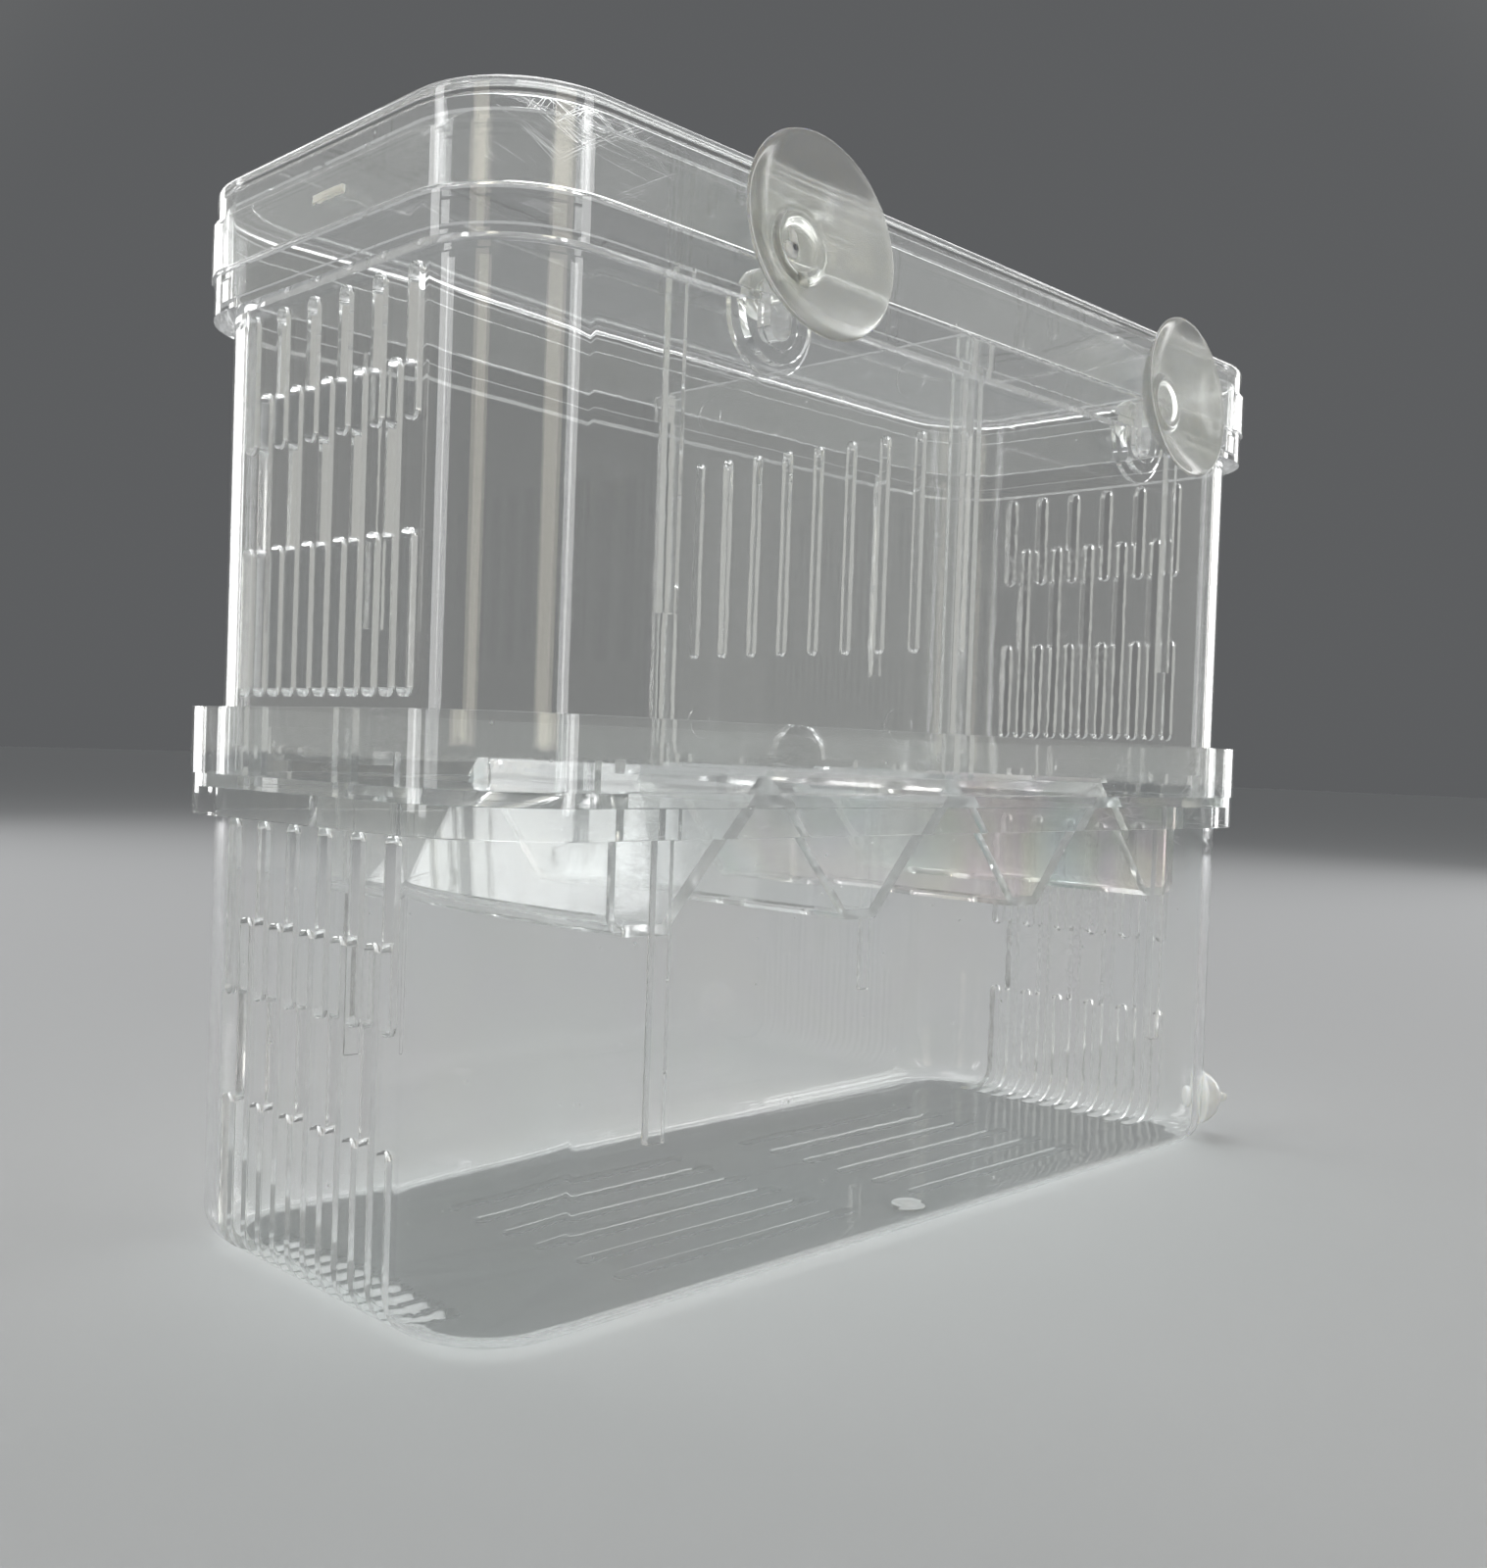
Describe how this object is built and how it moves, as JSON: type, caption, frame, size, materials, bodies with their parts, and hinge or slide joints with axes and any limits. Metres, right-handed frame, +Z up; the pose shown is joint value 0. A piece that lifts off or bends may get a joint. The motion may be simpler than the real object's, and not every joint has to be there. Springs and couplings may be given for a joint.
{
  "type": "fish breeding box",
  "caption": "Two-tier clear breeding box for a fish tank: lidded upper box with a lifting divider, V-trough tray, slotted fry box below and suction cups.",
  "frame": {"origin": "centre of the lower box's underside", "axes": "+Z up, +X along the long side, -Y towards the glass that the suction cups hold"},
  "size_m": [0.202, 0.0948, 0.1627],
  "materials": {
    "clear": "clear moulded styrene, glossy, lightly scratched",
    "soft": "milky soft vinyl, satin"
  },
  "bodies": {
    "lower_box": {"lower_box": "clear", "corner_plug": "soft"},
    "v_tray": {"v_tray": "clear"},
    "upper_box": {"upper_box": "clear"},
    "lid": {"lid": "clear"},
    "divider": {"divider": "clear"},
    "cup_left": {"suction_cup_left": "soft"},
    "cup_right": {"suction_cup_right": "soft"}
  },
  "joints": [
    {"name": "upper_box_lift", "type": "slide", "parent": "lower_box", "child": "upper_box", "axis": [0, 0, 1], "range_m": [0, 0.09]},
    {"name": "tray_lift", "type": "slide", "parent": "lower_box", "child": "v_tray", "axis": [0, 0, 1], "range_m": [0, 0.045]},
    {"name": "lid_lift", "type": "slide", "parent": "upper_box", "child": "lid", "axis": [0, 0, 1], "range_m": [0, 0.14]},
    {"name": "divider_lift", "type": "slide", "parent": "upper_box", "child": "divider", "axis": [0, 0, 1], "range_m": [0, 0.07]},
    {"name": "cup_left_slide", "type": "slide", "parent": "upper_box", "child": "cup_left", "axis": [0, 0, 1], "range_m": [-0.005, 0]},
    {"name": "cup_right_slide", "type": "slide", "parent": "upper_box", "child": "cup_right", "axis": [0, 0, 1], "range_m": [-0.005, 0]}
  ],
  "couplings": [
    {"joint": "tray_lift", "follows": "upper_box_lift", "ratio": 0.5},
    {"joint": "divider_lift", "follows": "lid_lift", "ratio": 0.5}
  ]
}
